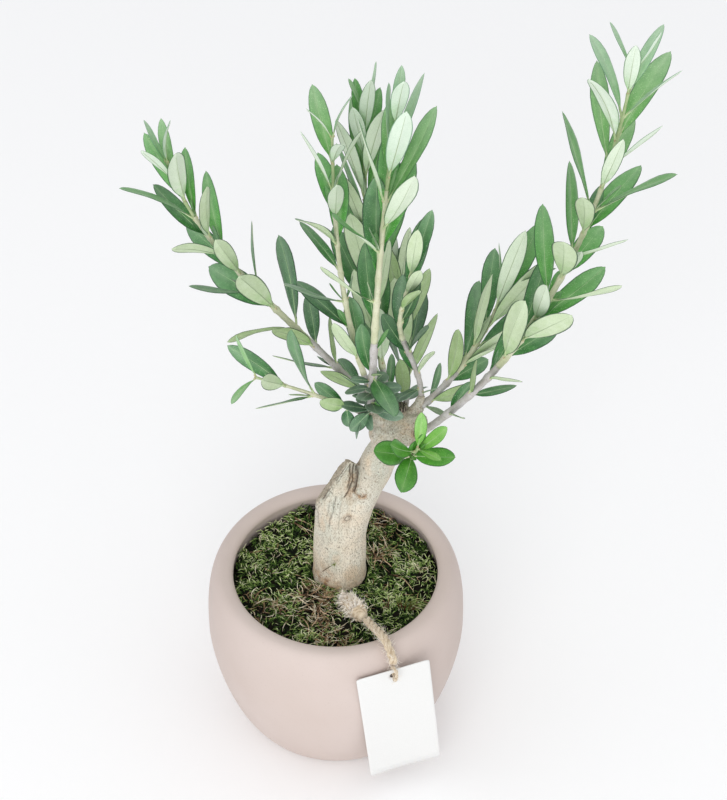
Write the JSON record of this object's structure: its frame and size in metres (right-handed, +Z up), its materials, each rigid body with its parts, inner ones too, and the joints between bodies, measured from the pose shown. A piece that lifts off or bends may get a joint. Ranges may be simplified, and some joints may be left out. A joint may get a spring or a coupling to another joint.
{
  "type": "potted olive tree",
  "caption": "Small olive tree with a sawn, leaning trunk and slender leafy shoots, in moss in a round matte planter with a blank card tag on twine.",
  "frame": {"origin": "centre of the planter's flat underside, on the surface that it stands on", "axes": "+Z up, -Y towards the side with the tag, +X to the right seen from there"},
  "size_m": [0.3371, 0.1999, 0.5549],
  "materials": {
    "planter": "matte",
    "soil": "matte",
    "moss": "matte",
    "bark": "matte",
    "young_bark": "matte",
    "leaves": "satin",
    "twine": "matte",
    "card": "matte"
  },
  "bodies": {
    "root": {"pot": "planter", "soil": "soil", "moss": "moss", "trunk": "bark", "leaning_limb": "bark", "bough_left_rear": "young_bark", "bough_right_rear": "young_bark", "bough_right": "young_bark", "bough_left": "young_bark", "bough_low_left": "young_bark", "foliage_centre": "leaves", "foliage_left_rear": "leaves", "foliage_rear": "leaves", "foliage_right_rear": "leaves", "foliage_mid_right": "leaves", "foliage_right": "leaves", "foliage_left": "leaves", "foliage_low_left": "leaves", "foliage_sprout": "leaves", "foliage_rear_low": "leaves", "twine_knot": "twine", "twine": "twine", "twine_eye": "twine", "paper_tag": "card"}
  },
  "joints": []
}
